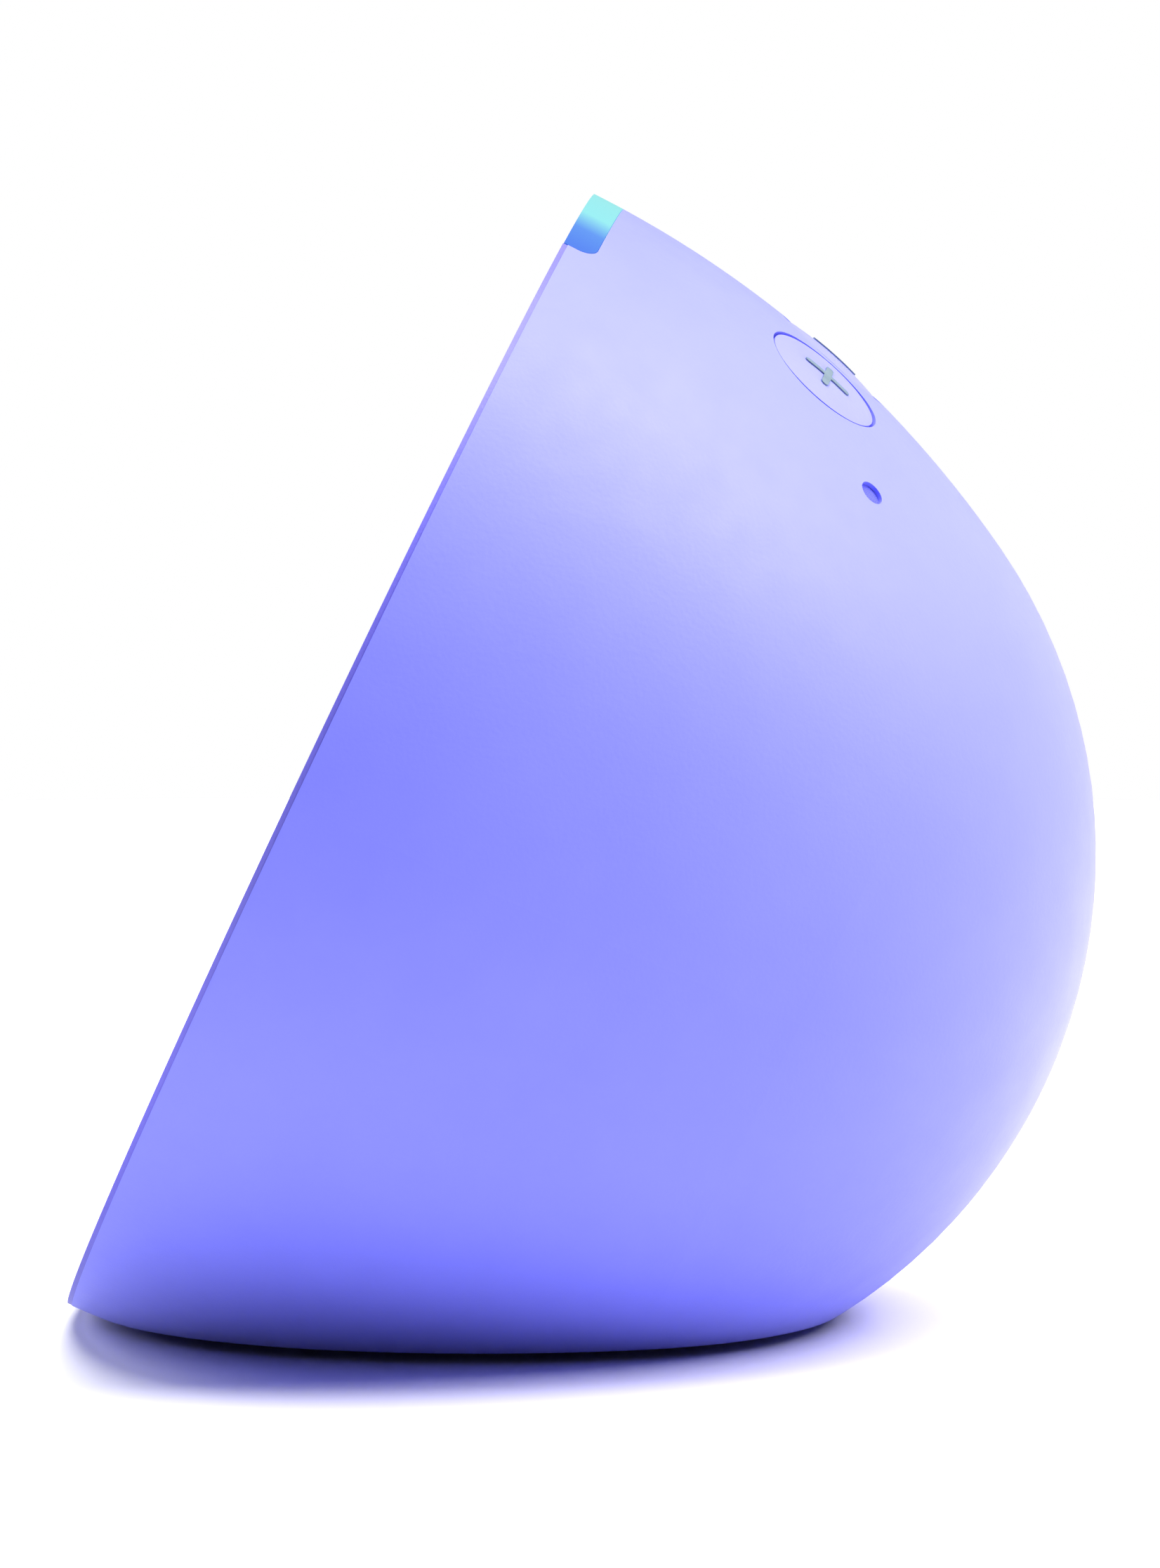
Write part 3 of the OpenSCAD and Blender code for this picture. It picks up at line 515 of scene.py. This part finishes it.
def woven_disc(name, place, radius, pitch, relief, thick, tuck, cells):
    """Disc of woven cloth whose threads are raised in the mesh; its edge dips by the tuck.

    The matrix gives its middle, with z out of its front. The front is a square grid of cells,
    spread over the disc. A side wall and a flat back close it.
    """
    out = place.col[2].xyz
    dip_width = 5 * tuck
    points, heights = [], []
    for i in range(cells + 1):
        for j in range(cells + 1):
            x, y = disc_point(2 * i / cells - 1, 2 * j / cells - 1)
            x, y = x * radius, y * radius
            height = weave_height(x, y, pitch)
            edge = max(0.0, 1 - (radius - math.hypot(x, y)) / dip_width)
            points.append(place @ Vector((x, y, -relief * (1 - height) - tuck * edge * edge)))
            heights.append(height)
    row = cells + 1
    faces = []
    for i in range(cells):
        faces += [(k, k + row, k + row + 1, k + 1) for k in range(i * row, i * row + cells)]
    rim = list(range(row)) + [i * row + cells for i in range(1, row)]
    rim += [cells * row + j for j in range(cells - 1, -1, -1)]
    rim += [i * row for i in range(cells - 1, 0, -1)]
    start, count = len(points), len(rim)
    for k in rim:
        points.append(points[k] - out * (thick - relief - tuck))
        heights.append(0.0)
    for n in range(count):
        after = (n + 1) % count
        faces.append((rim[n], rim[after], start + after, start + n))
    faces.append(tuple(start + n for n in range(count))[::-1])
    mesh = mesh_from(name, points, faces)
    mesh.attributes.new("relief", "FLOAT", "POINT").data.foreach_set("value", heights)
    mesh.polygons.foreach_set("use_smooth", [True] * len(mesh.polygons))
    return mesh


def grille_cloth():
    """Woven cloth stretched over the front, its edge tucked behind the trim."""
    low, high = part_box("grille_fabric")
    radius = (high.x - low.x) / 2 - CLOTH_CLEARANCE
    mesh = woven_disc(
        "grille_cloth", face_matrix(-CLOTH_FORWARD), radius, CLOTH_PITCH, CLOTH_RELIEF, CLOTH_THICK,
        CLOTH_TUCK, CLOTH_CELLS)
    cloth = new_piece("grille_cloth", mesh, "casing", FINISH["cloth"])
    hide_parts("grille_fabric")


def mic_gauzes():
    """Fine gauze in each microphone's hole, a little below the casing's surface.

    Each hole's axis is the normal of the largest outward face of the seal beneath it.
    """
    mesh = NODES["mic_seals"].data
    for name, side in (("mic_gauze_right", -1), ("mic_gauze_left", 1)):
        near = [v.co for v in mesh.vertices if v.co.x * side > 0]
        outward = [
            face for face in mesh.polygons
            if face.center.x * side > 0 and face.normal.dot(INTO) + face.normal.z > 0.5
        ]
        out = max(outward, key=lambda face: face.area).normal.normalized()
        middle = sum(near, Vector()) / len(near)
        seal_top = max(out.dot(co) for co in near)
        middle += out * (seal_top - out.dot(middle) + SEAL_TO_SURFACE - GAUZE_SINK)
        across = (ACROSS - out * out.dot(ACROSS)).normalized()
        place = Matrix((across, out.cross(across), out)).transposed().to_4x4()
        place.translation = middle
        gauze = woven_disc(
            name, place, GAUZE_R, GAUZE_PITCH, GAUZE_RELIEF, GAUZE_THICK, GAUZE_TUCK, GAUZE_CELLS)
        new_piece(name, gauze, "casing", FINISH["gauze"])


def key_frame(key, joint):
    """Matrix at the top of the key's axis, with z out of the key and y towards the rear."""
    out = -Vector(JOINTS[joint]["axis"]).normalized()
    rear = (INTO - out * INTO.dot(out)).normalized()
    side = rear.cross(out).normalized()
    vertices = [v.co for v in NODES[key].data.vertices]

    def middle(direction):
        reach = [direction.dot(co) for co in vertices]
        return (min(reach) + max(reach)) / 2

    origin = side * middle(side) + rear * middle(rear) + out * max(out.dot(co) for co in vertices)
    matrix = Matrix((side, rear, out)).transposed().to_4x4()
    matrix.translation = origin
    return matrix


def on_top(key, matrix, x, y, lift):
    """Point over the key's crown, lift above its surface, for a place in the key's own frame."""
    out = matrix.col[2].xyz
    well_above = 2 * MM
    start = matrix @ Vector((x, y, well_above))
    hit, place, _, _ = NODES[key].ray_cast(start, -out)
    return place + out * lift if hit else matrix @ Vector((x, y, lift))


def stroke(path, width, ends_round=True):
    """Pairs of left and right points of a stroke along a path; its ends narrow to a round."""
    least_width = 0.08
    pairs = []
    total = sum((b - a).length for a, b in zip(path, path[1:]))
    walked = 0.0
    for n, point in enumerate(path):
        before, after = path[max(n - 1, 0)], path[min(n + 1, len(path) - 1)]
        along = (after - before).normalized()
        if n:
            walked += (point - path[n - 1]).length
        half = width / 2
        if ends_round:
            near_end = min(walked, total - walked)
            if near_end < half:
                rounded = half * half - (half - near_end) ** 2
                half = math.sqrt(max(rounded, (least_width * half) ** 2))
        normal = Vector((-along.y, along.x))
        pairs.append((point + normal * half, point - normal * half))
    return pairs


def key_mark(name, key, joint, body, strokes, material):
    """Raised print on a key: each stroke is a closed strip that follows the crown."""
    matrix = key_frame(key, joint)
    points, faces = [], []
    for pairs in strokes:
        start, count = len(points), len(pairs)
        for left, right in pairs:
            for place, lift in (
                    (left, MARK_TOP), (right, MARK_TOP), (right, MARK_FOOT), (left, MARK_FOOT)):
                points.append(on_top(key, matrix, place.x, place.y, lift))
        for n in range(count - 1):
            a, b = start + 4 * n, start + 4 * (n + 1)
            faces += [(a + k, a + (k + 1) % 4, b + (k + 1) % 4, b + k) for k in range(4)]
        end = start + 4 * (count - 1)
        faces += [(start, start + 3, start + 2, start + 1), (end, end + 1, end + 2, end + 3)]
    mesh = mesh_from(name, points, faces)
    new_piece(name, mesh, body, material)


def bar(length, along, width, steps=24):
    """Straight stroke through the middle of a key."""
    ends = [0.5 - 0.5 * math.cos(math.pi * n / steps) for n in range(steps + 1)]
    return stroke([along * (length * (t - 0.5)) for t in ends], width)


def key_marks():
    """Plus, minus and crossed-out ring on the three keys."""
    rear, side, slant = Vector((0, 1)), Vector((1, 0)), Vector((1, 1)).normalized()
    material = mark_material()
    ring_steps = 40
    turns = [math.tau * n / ring_steps for n in range(ring_steps + 1)]
    ring = [Vector((math.cos(turn), math.sin(turn))) * MUTE_RING_R for turn in turns]
    lengthwise = bar(MARK_LENGTH, rear, MARK_WIDTH)
    crosswise = bar(MARK_LENGTH, side, MARK_WIDTH)
    circle = stroke(ring, MUTE_WIDTH, ends_round=False)
    slash = bar(MUTE_BAR_LENGTH, slant, MUTE_WIDTH)
    for name, key, body, strokes in (
            ("plus_mark", "volume_up_key", "volume_up", [lengthwise, crosswise]),
            ("minus_mark", "volume_down_key", "volume_down", [lengthwise]),
            ("mute_mark", "mic_mute_key", "mic_mute", [circle, slash])):
        key_mark(name, key, body + "_press", body, strokes, material)


# ---------- stage ----------

def floor():
    """White floor under the speaker."""
    bpy.ops.mesh.primitive_circle_add(vertices=96, radius=0.5, fill_type="NGON")
    plane = bpy.context.object
    plane.name = "floor"
    s = Shader("floor_white").set(Roughness=0.9, Specular_IOR_Level=0.1)
    tone = s.ramp(s.noise(8), [(0.3, (0.86, 0.86, 0.865)), (0.7, (0.88, 0.88, 0.885))])
    s.feed("Base Color", tone)
    plane.data.materials.append(s.material)


def softbox(name, place, size, power, color=(1, 1, 1)):
    """Round area lamp that points at the speaker."""
    data = bpy.data.lights.new(name, "AREA")
    data.shape = "DISK"
    data.size = size
    data.energy = power
    data.color = color
    lamp = bpy.data.objects.new(name, data)
    bpy.context.scene.collection.objects.link(lamp)
    lamp.location = place
    lamp.rotation_euler = (Vector(LAMP_AIM) - Vector(place)).to_track_quat("-Z", "Y").to_euler()


def daylight(seen, shed):
    """White surround; what it sheds on things is weaker than the white that shows behind them."""
    world = bpy.data.worlds.new("surround")
    bpy.context.scene.world = world
    world.use_nodes = True
    nodes, links = world.node_tree.nodes, world.node_tree.links
    back = nodes["Background"]
    path = nodes.new("ShaderNodeLightPath")
    mix = nodes.new("ShaderNodeMapRange")
    mix.inputs["To Min"].default_value = shed
    mix.inputs["To Max"].default_value = seen
    links.new(path.outputs["Is Camera Ray"], mix.inputs["Value"])
    links.new(mix.outputs[0], back.inputs["Strength"])
    back.inputs["Color"].default_value = (1, 1, 1, 1)


def camera():
    """Camera at the speaker's left, a little behind and above it, as the picture was taken."""
    level = math.cos(CAMERA_ELEVATION)
    sideways, forward = math.sin(CAMERA_AZIMUTH) * level, math.cos(CAMERA_AZIMUTH) * level
    toward = Vector((sideways, -forward, math.sin(CAMERA_ELEVATION)))
    data = bpy.data.cameras.new("camera")
    data.sensor_width = SENSOR_WIDTH
    data.lens = SENSOR_WIDTH * CAMERA_DISTANCE / SEEN_HEIGHT
    data.shift_x, data.shift_y = CAMERA_SHIFT
    data.clip_start, data.clip_end = 0.01, 50
    eye = bpy.data.objects.new("camera", data)
    bpy.context.scene.collection.objects.link(eye)
    target = (CAD_BOX[0] + CAD_BOX[1]) / 2
    eye.location = target + toward * CAMERA_DISTANCE
    eye.rotation_euler = (-toward).to_track_quat("-Z", "Y").to_euler()
    bpy.context.scene.camera = eye


# ---------- build ----------

camera()
floor()
daylight(seen=1.0, shed=0.03)
softbox("top_box", (0, 0.05, 1.04), size=0.9, power=16.5)
softbox("rear_box", (0, 0.68, 0.775), size=0.7, power=15.5, color=(1, 0.96, 1))
softbox("front_box", (-0.55, -0.75, 0.4), size=0.6, power=6)
bpy.context.scene.view_settings.view_transform = "Standard"

FINISH = finishes()
for part in frame["record"]["subparts"]:
    paint(part["node"], FINISH[part["material_slot"]])

grille_cloth()
mic_gauzes()
key_marks()
